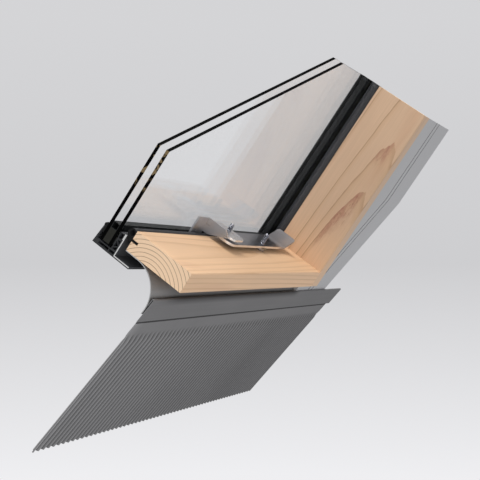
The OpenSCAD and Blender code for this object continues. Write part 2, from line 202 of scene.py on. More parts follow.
class SheetLook(bpy.types.PropertyGroup):
    """Flashings and apron."""

    front: colour_of("Front flashing", "Coat of the swept front flashing", (0.29, 0.291, 0.295))
    side: colour_of("Side flashing", "Surface of the side flashing", (0.50, 0.50, 0.515))
    apron: colour_of("Apron", "Coat of the apron and its band", (0.235, 0.233, 0.239))
    ease: length_of("Eased edge", "Rounding of the folded edges", 0.0003)


class PleatSizes(bpy.types.PropertyGroup):
    """Pleated apron, in the apron's own plane."""

    pitch: length_of("Pitch", "Distance between two pleats", 0.00985)
    height: length_of("Height", "Height of a pleat from trough to crest", 0.0036)
    thickness: length_of("Thickness", "Thickness of the sheet", 0.001)
    smooth: length_of("Flat margin", "End of the flat margin below the head", 0.024)
    full: length_of("Full pleat", "Where the pleats reach their full height", 0.038)
    seam: length_of("Seam", "Edge of the band, below the apron's head", 0.0087)
    seam_width: length_of("Seam width", "Width of the shadow along the band's edge", 0.0024)
    steps: IntProperty(name="Steps", description="Faces across one pleat", default=10, min=4)
    tilt: FloatProperty(name="Tilt", description="Slope against the glass plane",
                        subtype="ANGLE", unit="ROTATION", default=math.radians(6.95))


class StayLook(bpy.types.PropertyGroup):
    """Folding stay and its fasteners."""

    steel: colour_of("Steel", "Pressed link of the stay", (0.29, 0.29, 0.31))
    bright: colour_of("Bright steel", "Sash bracket", (0.57, 0.56, 0.56))
    zinc: colour_of("Zinc", "Studs, rivets and screws", (0.42, 0.42, 0.43))
    bronze: colour_of("Bronze", "Friction washer", (0.30, 0.21, 0.10))
    ease: length_of("Eased edge", "Rounding of the pressed edges", 0.0005)
    pin: length_of("Pin", "Radius of the pivot studs", 0.003)
    post: length_of("Wood thread", "Radius of the frame stud inside the rail", 0.0025)
    post_length: length_of("Wood thread length", "Length of it inside the rail", 0.018)
    collar_height: length_of("Collar", "Height of the frame stud's collar on the rail", 0.0044)
    head_height: length_of("Head", "Height of the sash stud's head under the link", 0.0021)
    frame_thread: length_of("Frame thread", "Threaded length of the frame stud's pin", 0.0140)
    sash_thread: length_of("Sash thread", "Threaded length of the sash stud", 0.0086)
    thread: length_of("Thread", "Pitch of the stud thread", 0.001)
    thread_depth: length_of("Thread depth", "Crest above root of the thread", 0.0005)


class StageLook(bpy.types.PropertyGroup):
    """Floor, backdrop, lamps and camera."""

    floor: colour_of("Floor", "Pale floor", (0.66, 0.66, 0.67))
    back_top: colour_of("Backdrop, top", "Backdrop above the object", (0.66, 0.66, 0.675))
    back_middle: colour_of("Backdrop, middle", "Backdrop behind the object", (0.615, 0.615, 0.63))
    back_low: colour_of("Backdrop, foot", "Backdrop below the object", (0.86, 0.86, 0.88))
    reach: length_of("Floor reach", "Radius of the floor", 3.0)
    spread: FloatProperty(name="Spread", description="How fast the backdrop changes with height",
                          default=2.2)
    ambient: share_of("Ambient", "Even light from all round", 0.5)
    camera: FloatVectorProperty(name="Camera", description="Place of the camera", size=3,
                                subtype="TRANSLATION", default=(1.34733, 0.2754, -0.36147))
    aim: FloatVectorProperty(name="Aim", description="Point the camera looks at", size=3,
                             subtype="TRANSLATION", default=(0.05847, -0.00947, 0.10510))
    roll: FloatProperty(name="Roll", description="Turn about the line of sight",
                        subtype="ANGLE", unit="ROTATION", default=math.radians(-52.84))
    lens: FloatProperty(name="Lens", description="Focal length in millimetres",
                        subtype="DISTANCE_CAMERA", unit="CAMERA", default=78.29)


class SkylightLook(bpy.types.PropertyGroup):
    """All settings of the skylight corner."""

    timber: PointerProperty(type=TimberLook)
    glass: PointerProperty(type=GlassLook)
    sash: PointerProperty(type=SashLook)
    sheet: PointerProperty(type=SheetLook)
    pleats: PointerProperty(type=PleatSizes)
    stay: PointerProperty(type=StayLook)
    stage: PointerProperty(type=StageLook)


# Shader maths


class Value:
    """A number in a node tree; arithmetic on it adds Math nodes."""

    def __init__(self, graph, socket):
        self.graph = graph
        self.socket = socket

    def __add__(self, other):
        return self.graph.maths("ADD", self, other)

    def __sub__(self, other):
        return self.graph.maths("SUBTRACT", self, other)

    def __rsub__(self, other):
        return self.graph.maths("SUBTRACT", other, self)

    def __mul__(self, other):
        return self.graph.maths("MULTIPLY", self, other)

    def __truediv__(self, other):
        return self.graph.maths("DIVIDE", self, other)

    def __rtruediv__(self, other):
        return self.graph.maths("DIVIDE", other, self)

    def __pow__(self, other):
        return self.graph.maths("POWER", self, other)

    def __rpow__(self, other):
        return self.graph.maths("POWER", other, self)

    def __gt__(self, other):
        return self.graph.maths("GREATER_THAN", self, other)

    def __lt__(self, other):
        return self.graph.maths("LESS_THAN", self, other)

    def __or__(self, other):
        return self.graph.maths("MAXIMUM", self, other)

    def __abs__(self):
        return self.graph.maths("ABSOLUTE", self)

    def fract(self):
        return self.graph.maths("FRACT", self)

    def root(self):
        return self.graph.maths("SQRT", self)

    __radd__ = __add__
    __rmul__ = __mul__
    __ror__ = __or__


class Graph:
    """Nodes of one material or world."""

    def __init__(self, tree):
        self.tree = tree
        tree.nodes.clear()

    def node(self, kind, settings=None, sockets=None):
        """Adds a node: its settings first, then values or links for its sockets."""
        made = self.tree.nodes.new(kind)
        settings = dict(settings or {})
        stops = settings.pop("stops", ())
        for name, value in settings.items():
            setattr(made, name, value)
        for index, (position, colour) in enumerate(stops):
            ramp = made.color_ramp.elements
            stop = ramp[index] if index < len(ramp) else ramp.new(position)
            stop.position = position
            stop.color = (*colour, 1)
        for name, value in (sockets or {}).items():
            value = value.socket if isinstance(value, Value) else value
            if isinstance(value, bpy.types.NodeSocket):
                self.tree.links.new(value, made.inputs[name])
            elif made.inputs[name].type == "RGBA":
                made.inputs[name].default_value = (*value, 1)
            else:
                made.inputs[name].default_value = value
        return made

    def maths(self, operation, *values):
        made = self.node("ShaderNodeMath", {"operation": operation}, dict(enumerate(values)))
        return Value(self, made.outputs[0])

    def place(self):
        """Place on the piece at rest, in metres."""
        return self.node("ShaderNodeTexCoord").outputs["Object"]

    def facing(self):
        """The three parts of the surface normal in the piece's own frame."""
        return self.split(self.node("ShaderNodeTexCoord").outputs["Normal"])

    def split(self, vector):
        parts = self.node("ShaderNodeSeparateXYZ", {}, {"Vector": vector}).outputs
        return [Value(self, part) for part in parts]

    def noise(self, scale, stretch=(1, 1, 1), detail=2.0, rough=0.5):
        """Soft noise from 0 to 1; stretch below 1 draws it out along an axis."""
        where = self.node("ShaderNodeVectorMath", {"operation": "MULTIPLY"},
                          {0: self.place(), 1: stretch}).outputs[0]
        made = self.node("ShaderNodeTexNoise", {}, {
            "Vector": where, "Scale": scale, "Detail": detail, "Roughness": rough})
        return Value(self, made.outputs[0])

    def rise(self, value, low, high):
        """Smooth step from 0 at low to 1 at high."""
        made = self.node("ShaderNodeMapRange", {"interpolation_type": "SMOOTHSTEP"}, {
            "Value": value, "From Min": low, "From Max": high})
        return Value(self, made.outputs[0])

    def mix(self, share, first, second):
        """Mix of two colours, which are sockets 6 and 7 of the node and its output 2."""
        made = self.node("ShaderNodeMix", {"data_type": "RGBA"}, {0: share, 6: first, 7: second})
        return made.outputs[2]

    def shade(self, colour, amount):
        """Colour made lighter or darker by a number round 1."""
        grey = self.node("ShaderNodeCombineXYZ", {}, {0: amount, 1: amount, 2: amount}).outputs[0]
        return self.node("ShaderNodeVectorMath", {"operation": "MULTIPLY"},
                         {0: colour, 1: grey}).outputs[0]

    def ramp(self, value, stops):
        return self.node("ShaderNodeValToRGB", {"stops": stops}, {"Fac": value}).outputs["Color"]

    def bump(self, height, strength, distance):
        return self.node("ShaderNodeBump", {}, {
            "Strength": strength, "Distance": distance, "Height": height}).outputs[0]

    def cut_ends(self):
        """1 on the two planes where the sample has been sawn off."""
        x, y, _ = self.split(self.place())
        return (x > CUT_X - SAW) | (y > CUT_Y - SAW)

    def principled(self, sockets):
        return self.node("ShaderNodeBsdfPrincipled", {}, sockets).outputs[0]

    def blend(self, share, first, second):
        return self.node("ShaderNodeMixShader", {}, {0: share, 1: first, 2: second}).outputs[0]

    def surface(self, shader):
        self.node("ShaderNodeOutputMaterial", {}, {"Surface": shader})


def new_material(name):
    material = bpy.data.materials.new(name)
    material.use_nodes = True
    return material, Graph(material.node_tree)


# Finishes


def pine(name, look, early, run_axis, pith, lean, level, core=0, hearts=()):
    """Solid pine: rings round a pith line that leans, fibres along the grain, reddish hearts.

    With a core, each ring outside it is almost twice as wide as the one before."""
    material, g = new_material(name)
    x, y, z = g.split(g.place())
    nx, ny, _ = g.facing()
    run, across, end = (x, y, nx) if run_axis == "X" else (y, x, ny)

    def drawn(share):
        return (share, 1, 1) if run_axis == "X" else (1, share, 1)

    # The wide rings wander less than the even ones, and their lines are more ragged
    waver, ragged = (look.waver / 6, look.waver / 2.6) if core else (look.waver, look.waver / 9)
    wander = g.noise(14, drawn(0.22), 1.5) - 0.5
    flutter = g.noise(110, drawn(0.16), 3, 0.6) - 0.5
    off = across - pith[0] - run * lean[0]
    deep = z - pith[1] - run * lean[1]
    radius = (off * off + deep * deep).root() + wander * waver + flutter * ragged
    fibre = g.noise(1100, drawn(0.018), 3, 0.6)
    tone = g.noise(9, drawn(0.3), 2)
    streaks = g.rise(g.noise(34, drawn(0.13), 2.5, 0.45), 0.60, 0.76)
    strong = g.rise(g.noise(7, drawn(0.2), 1), 0.35, 0.7)
    if core:
        grown = (radius - core) | (look.ring_gap / 20)
        ring = g.maths("LOGARITHM", grown / look.ring_gap, WIDENING).fract()
        left = (1 - ring) * grown * math.log(WIDENING)
        outside = g.rise(grown, look.ring_gap * 0.55, look.ring_gap * 0.70)
        line = fine = (1 - g.rise(left, 0.0002, 0.0008)) * outside
        # Warmer wood towards the foot of the jamb, also painted lighter as painted light against the
        # shade near the rail
        early = g.mix((1 - g.rise(run, 0.02, 0.10)) * 0.55, early, look.foot)
        early = g.mix((1 - g.rise(left, 0, 0.0035)) * outside * 0.25, early, look.late)
        shown = (0.35 + strong * 0.35) * (0.45 + g.rise(abs(deep), 0.002, 0.018) * 0.55)
        face = g.mix(line * shown, early, look.line)
    else:
        ring = (radius / look.ring_gap).fract()
        after = 1 - g.rise(ring, 0.95, 1.0)
        line = g.rise(ring, 0.55, 0.93) * after
        fine = g.rise(ring, 0.78, 0.93) * after
        face = g.mix(line * (0.30 + strong * 0.38), early, look.late)
    face = g.mix(streaks * 0.30, face, look.streak)
    for start, tip, depth, number in hearts:
        grains = g.rise(g.noise(260, drawn(0.2), 3, 0.65), 0.36, 0.64)
        flecks = g.rise(g.noise(800, drawn(0.25), 2), 0.56, 0.66)
        inside = look.ring_gap * WIDENING ** number - grown
        along = g.rise(run, start - 0.012, start + 0.020) * (1 - g.rise(run, tip, tip + 0.008))
        heart = (1 - g.rise(inside, depth / 3, depth)) * (inside > 0)
        heart = heart * g.rise(deep, -0.003, 0.003) * along
        face = g.mix(heart * (0.20 + grains * 0.60), face, look.heart)
        face = g.mix(heart * flecks * 0.45, face, look.line)
    pores = g.noise(1500, detail=2)
    sawn = g.mix(fine * 0.85, look.end_early, look.end_late)
    on_end = g.rise(abs(end), 0.5, 0.7)
    colour = g.mix(on_end, face, sawn)
    bright = level + (fibre - 0.5) * 0.20 + (tone - 0.5) * 0.20 + (pores - 0.5) * on_end * 0.24
    relief = fibre * 0.6 - line * 0.5 + pores * on_end
    g.surface(g.principled({
        "Base Color": g.shade(colour, bright),
        "Roughness": 0.5 + (fibre - 0.5) * 0.2 + on_end * 0.2,
        "Normal": g.bump(relief, 0.22, 0.0003),
        "Specular IOR Level": 0.35}))
    return material


def clear_glass(name, look):
    """Clear pane: gloss by angle on its faces, dark on its cut edges with patches of painted
    reflection of the wood.
    """
    material, g = new_material(name)
    nx, _, nz = g.facing()
    _, y, _ = g.split(g.place())
    angle = Value(g, g.node("ShaderNodeLayerWeight", {}, {"Blend": 0.5}).outputs["Facing"])
    gloss = look.square + (angle ** 5) * look.glancing
    through = g.node("ShaderNodeBsdfTransparent", {}, {"Color": look.tint}).outputs[0]
    shine = g.node("ShaderNodeBsdfGlossy", {}, {
        "Color": look.shine, "Roughness": 0.0}).outputs[0]
    pane = g.blend(gloss, through, shine)
    # Painted reflection of the wood in patches on the cut edges, higher up the jamb
    reflected_wood = g.rise(g.noise(120, (0.1, 1, 1), 1), 0.5, 0.56) * g.rise(y, *WOOD_REFLECTION_FROM)
    edge = g.principled({
        "Base Color": g.mix(reflected_wood * (nx > 0.9), look.edge, look.edge_wood_reflection),
        "Roughness": 0.5 + g.noise(300) * 0.2,
        "Specular IOR Level": 0.02})
    g.surface(g.blend(abs(nz) < 0.5, pane, edge))
    return material


def moulded(name, colour, rough, grain, depth, gleam=0.3, sawn=None):
    """Rubber, sealant or extruded plastic: a fine skin, a slight bloom and darker sawn ends."""
    material, g = new_material(name)
    bloom = g.noise(28, detail=3)
    skin = g.noise(grain, detail=3)
    paint = g.mix(bloom * 0.5, colour, [c * 1.5 + 0.004 for c in colour])
    if sawn:
        paint = g.mix(g.cut_ends(), paint, sawn)
    g.surface(g.principled({
        "Base Color": g.shade(paint, 0.9 + skin * 0.2),
        "Roughness": rough + (bloom - 0.5) * 0.16 + (skin - 0.5) * 0.1,
        "Normal": g.bump(skin, 0.18, depth),
        "Specular IOR Level": gleam}))
    return material


def coated_profile(name, look, sawn):
    """Powder coat with its pebbled skin and another colour on sawn ends."""
    material, g = new_material(name)
    pebble = g.noise(1700, detail=2)
    cloud = g.noise(14, detail=3)
    strokes = g.noise(1900, (1, 0.05, 1), 2)
    bare = g.cut_ends()
    coat = g.shade(g.mix(cloud * 0.5, look.coat, [c * 1.35 for c in look.coat]),
                   0.9 + pebble * 0.2)
    g.surface(g.principled({
        "Base Color": g.mix(bare, coat, g.shade(sawn, 0.9 + strokes * 0.2)),
        "Roughness": 0.42 + (pebble - 0.5) * 0.12 + bare * 0.05,
        "Metallic": bare * 0.25,
        "Normal": g.bump(pebble, 0.12, 0.00015)}))
    return material


def sheet_metal(name, colour, rough, metal, run, bright, gleam, painted_shading=None):
    """Rolled sheet: rolling marks, dull clouds, bright sheared ends, and painted light and shade
    where the caller gives it.
    """
    material, g = new_material(name)
    rolled = g.noise(420, run, 3, 0.6)
    cloud = g.noise(7, detail=4)
    speck = g.noise(900, detail=2)
    bare = g.cut_ends()
    coat = g.shade(g.mix(cloud, [c * 0.90 for c in colour], [c * 1.10 for c in colour]),
                   0.95 + (rolled - 0.5) * 0.16 + (speck - 0.5) * 0.10)
    if painted_shading:
        # Painted light and shade from the caller
        coat = g.shade(coat, painted_shading(g))
    g.surface(g.principled({
        "Base Color": g.mix(bare * bright, coat, SHEARED),
        "Roughness": rough + (cloud - 0.5) * 0.16 + (rolled - 0.5) * 0.10,
        "Metallic": metal,
        "Normal": g.bump(rolled + speck, 0.10, 0.00012),
        "Specular IOR Level": gleam}))
    return material


def plated(name, colour, rough, grain, metal=0.85, highlights=None):
    """Zinc plate: cloudy passivation over faint tool marks, with painted highlights on edges and
    painted light on a tab where asked.
    """
    material, g = new_material(name)
    cloud = g.noise(60, detail=4)
    marks = g.noise(grain, (0.06, 1, 1), 3)
    paint = g.mix(cloud, colour, [colour[0] * 0.86, colour[1] * 0.90, colour[2] * 0.98])
    if highlights:
        # Painted highlight on edges and painted light on a tab, from the caller
        sheared, lit_tab = highlights(g)
        paint = g.mix(lit_tab, g.mix(sheared, paint, SHEARED_EDGE_HIGHLIGHT), TAB_LIGHT)
        metal = metal - lit_tab * 0.45
    g.surface(g.principled({
        "Base Color": g.shade(paint, 0.92 + (marks - 0.5) * 0.22),
        "Metallic": metal,
        "Roughness": rough + (cloud - 0.5) * 0.18 + (marks - 0.5) * 0.1,
        "Normal": g.bump(marks, 0.10, 0.0001)}))
    return material


def floor_paint(name, colour, middle, reach):
    """Pale floor seen from above only, fading out far away; reflections show the backdrop."""
    material, g = new_material(name)
    ray = g.node("ShaderNodeLightPath").outputs
    seen = Value(g, ray["Is Camera Ray"]) | Value(g, ray["Is Transmission Ray"])
    under = Value(g, g.node("ShaderNodeNewGeometry").outputs["Backfacing"])
    x, y, _ = g.split(g.place())
    off, away = x - middle.x, y - middle.y
    fade = 1 - g.rise((off * off + away * away).root(), 0.25 * reach, 0.72 * reach)
    grain = g.noise(40, detail=3)
    paint = g.principled({
        "Base Color": g.mix(grain, colour, [c * 0.985 for c in colour]),
        "Roughness": 0.8, "Specular IOR Level": 0.1})
    clear = g.node("ShaderNodeBsdfTransparent").outputs[0]
    g.surface(g.blend(seen * (1 - under) * fade, clear, paint))
    return material


# Making and placing pieces


def dress(names, material):
    """Gives CAD nodes their finish."""
    for name in names:
        data = frame["nodes"][name].data
        data.materials.clear()
        data.materials.append(material)


def add_piece(shape, name, body, material, stands_for=()):
    """Makes a bmesh an object on a body, smooth but for its sharp edges and large flats."""
    mesh = bpy.data.meshes.new(name)
    for face in shape.faces:
        face.smooth = True
    shape.to_mesh(mesh)
    shape.free()
    mesh.set_sharp_from_angle(angle=SHARP)
    mesh.materials.append(material)
    piece = bpy.data.objects.new(name, mesh)
    bpy.context.scene.collection.objects.link(piece)
    piece.modifiers.new("even_shading", "WEIGHTED_NORMAL").keep_sharp = True
    shown = piece.evaluated_get(bpy.context.evaluated_depsgraph_get())
    piece.data = bpy.data.meshes.new_from_object(shown)
    piece.modifiers.clear()
    bpy.data.meshes.remove(mesh)
    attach(piece, body)
    if stands_for:
        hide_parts(*stands_for)


def eased_copy(node, width, material):
    """Copy of a CAD node with its sharp edges rounded, standing for the node."""
    source = frame["nodes"][node]
    shape = bmesh.new()
    shape.from_mesh(source.data)
    bmesh.ops.remove_doubles(shape, verts=shape.verts, dist=MERGE)
    bmesh.ops.dissolve_limit(shape, angle_limit=FLAT, verts=shape.verts, edges=shape.edges)
    edges = [edge for edge in shape.edges
             if len(edge.link_faces) == 2 and edge.calc_face_angle() > SHARP]
    bmesh.ops.bevel(shape, geom=edges, offset=width, offset_type="OFFSET", segments=2,
                    profile=0.5, affect="EDGES", clamp_overlap=True, material=-1)
    add_piece(shape, node + "_eased", source["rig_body"], material, [node])


def turned(shape, outline, place, axis, steps=32):
    """Turns an outline of (radius, height) points about an axis through a place."""
    onto = Matrix.Translation(place) @ axis.to_track_quat("Z", "Y").to_matrix().to_4x4()
    rail = [shape.verts.new(onto @ Vector((radius, 0, height))) for radius, height in outline]
    edges = [shape.edges.new(pair) for pair in zip(rail, rail[1:])]
    bmesh.ops.spin(shape, geom=rail + edges, cent=place, axis=axis, dvec=(0, 0, 0),
                   angle=math.tau, steps=steps, use_merge=True, use_duplicate=False)


def thread_ridge(shape, place, axis, root, crest, start, end, pitch, steps=24):
    """Winds a closed ridge of three sides up a stud."""
    onto = Matrix.Translation(place) @ axis.to_track_quat("Z", "Y").to_matrix().to_4x4()
    corners = [(root, start), (crest, start + pitch / 2), (root, start + pitch * 0.98)]
    tooth = [shape.verts.new(onto @ Vector((radius, 0, height))) for radius, height in corners]
    edges = [shape.edges.new((tooth[i], tooth[i - 1])) for i in range(len(tooth))]
    turns = int((end - start) / pitch) - 1
    bmesh.ops.spin(shape, geom=tooth + edges, cent=place, axis=axis,
                   dvec=axis * (pitch / steps), angle=math.tau * turns, steps=steps * turns,
                   use_merge=False, use_duplicate=False)


def close_up(shape):
    """Merges doubles, closes small open ends and turns all faces outwards."""
    bmesh.ops.remove_doubles(shape, verts=shape.verts, dist=MERGE)
    open_edges = [edge for edge in shape.edges if edge.is_boundary]
    bmesh.ops.holes_fill(shape, edges=open_edges, sides=4)
    bmesh.ops.recalc_face_normals(shape, faces=shape.faces)


class SKYLIGHT_OT_timber(bpy.types.Operator):
    """Bottom rail and side jamb in solid pine"""

    bl_idname = "skylight.timber"
    bl_label = "Timber frame"

    def execute(self, context):
        wood = context.scene.skylight.timber
        rail = pine("pine_rail", wood, wood.rail, "X", pith=(-0.042, 0.043),
                    lean=(0.012, -0.006), level=0.985)
        jamb = pine("pine_jamb", wood, wood.jamb, "Y", pith=(-0.0411, 0.009),
                    lean=(-0.0518, 0.024), level=0.84, core=0.0551, hearts=HEARTS)
        eased_copy("bottom_rail", wood.ease, rail)
        eased_copy("side_jamb", wood.ease, jamb)
        return {"FINISHED"}


class SKYLIGHT_OT_glazing(bpy.types.Operator):
    """Glass unit with its spacer, sealant and setting blocks"""

    bl_idname = "skylight.glazing"
    bl_label = "Glazing"

    def execute(self, context):
        look = context.scene.skylight
        dress(["inner_pane", "outer_pane"], clear_glass("clear_pane", look.glass))
        spacer = moulded("spacer_bar", look.glass.spacer, rough=0.55, grain=700, depth=0.0002)
        # Sealant painted lighter inside, in the shade between the panes, than on its lit sawn end
        sealant = moulded("edge_sealant", look.glass.sealant, rough=0.7, grain=300, depth=0.0004,
                          gleam=0.05, sawn=look.glass.sawn)
        block = moulded("setting_block", look.sash.plastic, rough=0.5, grain=900, depth=0.0002)
        dress(["spacer_bar"], spacer)
        dress(["edge_sealant"], sealant)
        dress(["setting_blocks"], block)
        return {"FINISHED"}


class SKYLIGHT_OT_sash(bpy.types.Operator):
    """Sash profiles, glass carriers, seals and the frame's gasket"""

    bl_idname = "skylight.sash"
    bl_label = "Sash"

    def execute(self, context):
        look = context.scene.skylight
        base = coated_profile("base_coat", look.sash, look.sash.bare)
        cover = coated_profile("cover_coat", look.sash, look.sash.dull)
        plastic = moulded("carrier_plastic", look.sash.plastic, rough=0.5, grain=1200,
                          depth=0.00015, sawn=look.sash.dull)
        rubber = moulded("seal_rubber", look.sash.rubber, rough=0.6, grain=800, depth=0.0002,
                         gleam=0.15)
        for side in ("bottom", "side"):
            eased_copy("sash_base_" + side, look.sash.ease, base)
            eased_copy("sash_cover_" + side, look.sash.ease, cover)
            dress(["carrier_" + side], plastic)
            dress(["inner_tape_" + side, "outer_seal_" + side], rubber)
        bulb = moulded("gasket_rubber", look.sash.dusty, rough=0.7, grain=800, depth=0.0002,
                       gleam=0.15, sawn=look.sash.rubber)
        eased_copy("frame_gasket", look.sash.ease, bulb)
        return {"FINISHED"}


class SKYLIGHT_OT_flashing(bpy.types.Operator):
    """Front and side flashing and the apron's folded band"""

    bl_idname = "skylight.flashing"
    bl_label = "Flashing"

    def execute(self, context):
        sheet = context.scene.skylight.sheet
        front = sheet_metal("front_sheet", sheet.front, rough=0.42, metal=0.15, run=ALONG_X,
                            bright=0.35, gleam=0.3, painted_shading=self.hollow)
        side = sheet_metal("side_sheet", sheet.side, rough=0.5, metal=0.05, run=ALONG_Y,
                           bright=0.3, gleam=0.25, painted_shading=self.slots)
        band = sheet_metal("band_sheet", sheet.apron, rough=0.75, metal=0.0, run=ALONG_X,
                           bright=0.0, gleam=0.03, painted_shading=self.hem)
        eased_copy("front_flashing", sheet.ease, front)
        eased_copy("side_flashing", sheet.ease, side)
        eased_copy("apron_band", sheet.ease, band)
        return {"FINISHED"}

    def shade_behind_rail(self, g):
        """Painted shade on the room side behind the rail, but for the end that is open at the cut."""
        x, _, _ = g.split(g.place())
        _, _, nz = g.facing()
        # Painted shade: darker behind the rail, fading out towards the open cut end
        behind = g.rise(x, -0.03, 0.0) - g.rise(x, CUT_X - 0.07, CUT_X - 0.005)
        return behind * (nz < -0.1)

    def hollow(self, g):
        """Painted shade in the hollow between the rail and the front flashing."""
        return 1 - self.shade_behind_rail(g) * HOLLOW_SHADE

    def hem(self, g):
        """Painted shade along the band's folded head."""
        _, y, _ = g.split(g.place())
        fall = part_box("apron_band")[1].y - y
        return 1 - self.shade_behind_rail(g) * (1 - g.rise(fall, -0.002, 0.011)) * HEM_SHADE

    def slots(self, g):
        """Shadow in the two narrow slots on the under side of the water beads."""
        x, _, _ = g.split(g.place())
        _, _, nz = g.facing()
        first, second = (abs(x + middle) < SLOT_HALF for middle in BEADS)
        return 1 - (first | second) * (nz < 0.5) * SLOT_DARK


class SKYLIGHT_OT_apron(bpy.types.Operator):
    """Pleated apron with round folds, standing for the CAD apron"""

    bl_idname = "skylight.apron"
    bl_label = "Pleated apron"

    def execute(self, context):
        look = context.scene.skylight
        size = look.pleats
        low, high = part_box("apron")
        down = Vector((0, -math.cos(size.tilt), math.sin(size.tilt)))
        up = Vector((0, math.sin(size.tilt), math.cos(size.tilt)))
        length = (high.y - low.y) / math.cos(size.tilt)
        head = Vector((0, high.y, low.z))
        count = round((high.x - low.x) / size.pitch)
        # The first row of faces is the flat margin, the last the full pleats; between them they grow
        rows = 9
        shape = bmesh.new()
        bmesh.ops.create_grid(shape, x_segments=count * size.steps, y_segments=rows, size=0.5)
        span = size.full - size.smooth
        marks = [size.smooth + span * k / (rows - 2) for k in range(rows - 1)]
        marks = [0.0, *marks, length]
        for vert in shape.verts:
            u = marks[round((vert.co.y + 0.5) * rows)]
            x = low.x + (vert.co.x + 0.5) * (high.x - low.x)
            ease = min(max((u - size.smooth) / span, 0), 1)
            ease = ease * ease * (3 - 2 * ease)
            wave = math.sin(math.tau * ((x - low.x) / size.pitch + SHIFT))
            vert.co = Vector((x, 0, 0)) + head + down * u + up * (wave * ease * size.height / 2)
        bmesh.ops.recalc_face_normals(shape, faces=shape.faces)
        bmesh.ops.solidify(shape, geom=shape.faces, thickness=size.thickness)

        def creases(g):
            """Painted shade in the troughs and painted highlight on the crests, painted light along
            the cut edge, painted shade on the pleats deepening towards the far end, and painted
            shadow along the band's edge.
            """
            px, py, _ = g.split(g.place())
            _, _, nz = g.facing()
            fall = (high.y - py) / math.cos(size.tilt)
            phase = (px - low.x) / size.pitch + SHIFT - 0.25
            pleated = g.rise(fall, size.smooth, size.full)
            # Painted shade in the troughs and painted highlight on the crests, turned over for the
            # upper side
            side = g.rise(nz, -0.1, 0.1) * 2 - 1
            stripes = g.maths("COSINE", phase * math.tau) * pleated * side * STRIPE_TONE
            seam = (fall > size.seam) * (fall < size.seam + size.seam_width)
            # Painted light along the cut edge
            edge_light = g.rise(px, high.x - 2 * size.pitch, high.x) * CUT_EDGE_LIGHT
            near = g.rise(px, low.x + 0.2 * (high.x - low.x), high.x)
            # Painted shade on the pleats, deeper at the far end than near the cut end
            dull = FAR_SHADE - near * (FAR_SHADE - CUT_END_SHADE)
            return (MARGIN_TONE + edge_light - pleated * dull + stripes) * (1 - seam * SEAM_DARK)

        coat = sheet_metal("apron_sheet", look.sheet.apron, rough=0.75, metal=0.0,
                           run=ALONG_Y, bright=0.0, gleam=0.03, painted_shading=creases)
        add_piece(shape, "pleated_apron", "frame", coat, ["apron"])
        return {"FINISHED"}


class SKYLIGHT_OT_stay(bpy.types.Operator):
    """Pressed plates, washer and bush of the folding stay"""

    bl_idname = "skylight.stay"
    bl_label = "Folding stay"

    def execute(self, context):
        stay = context.scene.skylight.stay
        link = plated("link_steel", stay.steel, rough=0.32, grain=900, metal=1.0,
                      highlights=self.link_highlights)
        bracket = plated("bracket_steel", stay.bright, rough=0.30, grain=900, metal=0.8,
                         highlights=self.bracket_highlights)
        eased_copy("stay_link", stay.ease, link)
        eased_copy("sash_bracket", stay.ease, bracket)
        bush = plated("bush_zinc", stay.zinc, rough=0.3, grain=700)
        washer = plated("washer_bronze", stay.bronze, rough=0.45, grain=700)
        dress(["pivot_bush"], bush)
        dress(["friction_washer"], washer)
        return {"FINISHED"}

    def link_highlights(self, g):
        """Sheared edges of the link, brightened as a painted highlight, and painted light on its tab.
        """
        x, _, _ = g.split(g.place())
        _, ny, _ = g.facing()
        return 1 - g.rise(abs(ny), 0.2, 0.4), 1 - g.rise(x, *TAB_END)

    def bracket_highlights(self, g):
        """Painted highlight on the bracket's edges on the room's side, below a height; no tab is lit.
        """
        _, _, z = g.split(g.place())
        _, _, nz = g.facing()
        return (nz < -0.5) * (z < BRIGHT_HEIGHT), 0


class SKYLIGHT_OT_studs(bpy.types.Operator):
    """Threaded pivot studs of the stay"""

    bl_idname = "skylight.studs"
    bl_label = "Pivot studs"

    def execute(self, context):
        stay = context.scene.skylight.stay
        zinc = plated("stud_zinc", stay.steel, rough=0.16, grain=700, metal=1.0)
        pin, ease = stay.pin, stay.ease
        collar = (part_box("frame_stud")[1].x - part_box("frame_stud")[0].x) / 2
        head = (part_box("sash_stud")[1].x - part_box("sash_stud")[0].x) / 2
        post, foot, top = stay.post, stay.post_length, stay.collar_height
        self.threaded("frame_stud", zinc, stay, stay.frame_thread, [
            (0, 0), (post, post), (post, foot), (collar - ease, foot), (collar, foot + ease),
            (collar, foot + top - ease), (collar - ease, foot + top), (pin, foot + top)])
        cap = stay.head_height
        self.threaded("sash_stud", zinc, stay, stay.sash_thread, [
            (0, 0), (head - ease, 0), (head, ease), (head, cap - ease / 2), (head - ease / 2, cap),
            (pin, cap)])
        return {"FINISHED"}

    def threaded(self, node, material, sizes, length, below):
        """Turns a stud: its outline below the thread, then the thread to its free end."""
        low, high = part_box(node)
        middle = (low + high) / 2
        place, axis = Vector((middle.x, low.y, middle.z)), Vector((0, 1, 0))
        tall, pin, deep = high.y - low.y, sizes.pin, sizes.thread_depth
        root, start = pin - deep, tall - length
        shape = bmesh.new()
        turned(shape, [*below, (pin, start), (root, start + deep), (root, tall - deep),
                       (root - deep, tall), (0, tall)], place, axis)
        thread_ridge(shape, place, axis, root - deep / 5, pin - deep / 10, start + deep / 2,
                     tall - deep, sizes.thread)
        close_up(shape)
        add_piece(shape, node + "_threaded", frame["nodes"][node]["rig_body"],
                  material, [node])


